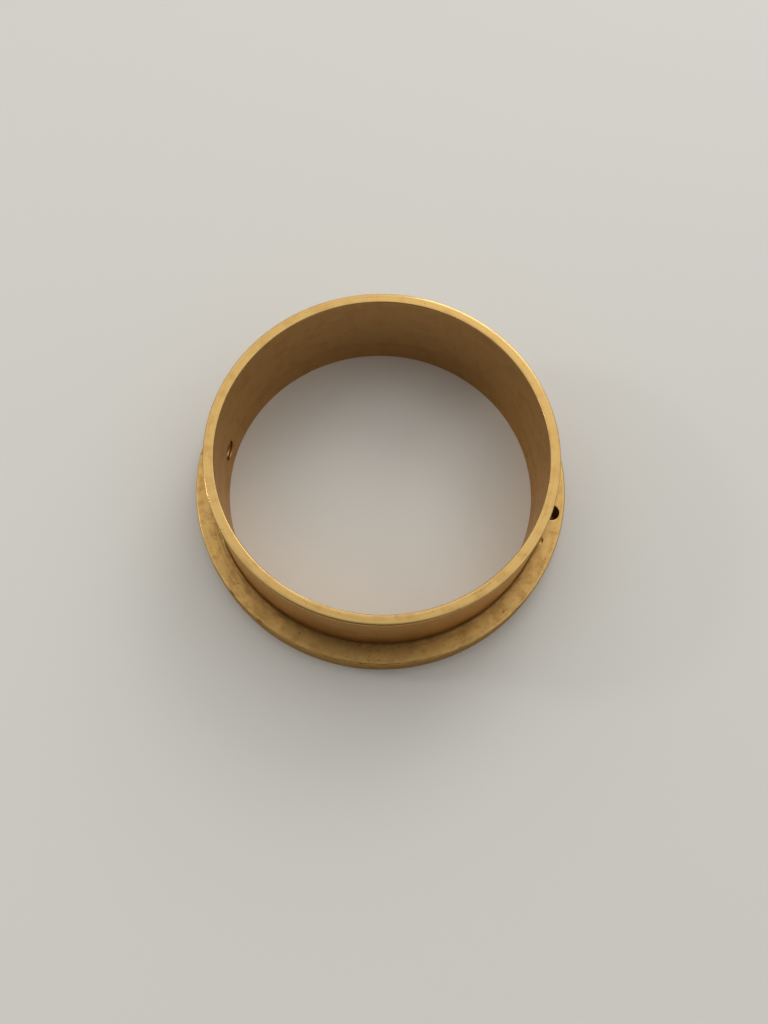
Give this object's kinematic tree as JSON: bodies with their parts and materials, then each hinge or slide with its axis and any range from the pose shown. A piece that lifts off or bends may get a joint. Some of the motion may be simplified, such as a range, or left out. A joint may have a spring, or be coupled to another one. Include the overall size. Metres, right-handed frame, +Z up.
{
  "type": "flanged pipe collar",
  "caption": "Thin brass pipe coupling collar with a ring flange at its foot and a radial set screw that locks it on the pipe.",
  "frame": {"origin": "centre of the flange's underside, on the bore's axis", "axes": "+Z up the bore from the flange to the rim; the set screw lies on -X and the locating hole on +X"},
  "size_m": [0.0836, 0.0836, 0.0245],
  "materials": {
    "sleeve_brass": "fine turned, satin",
    "flange_brass": "coarser turned, mottled, satin",
    "braze": "brazed seam, dull",
    "screw_brass": "machined brass screw"
  },
  "bodies": {
    "collar": {"sleeve": "sleeve_brass", "flange": "flange_brass", "braze_fillet": "braze"},
    "set_screw": {"set_screw": "screw_brass"}
  },
  "joints": [
    {"name": "set_screw_feed", "type": "slide", "parent": "collar", "child": "set_screw", "axis": [1, 0, 0], "range_m": [-0.0008, 0.0024]}
  ]
}
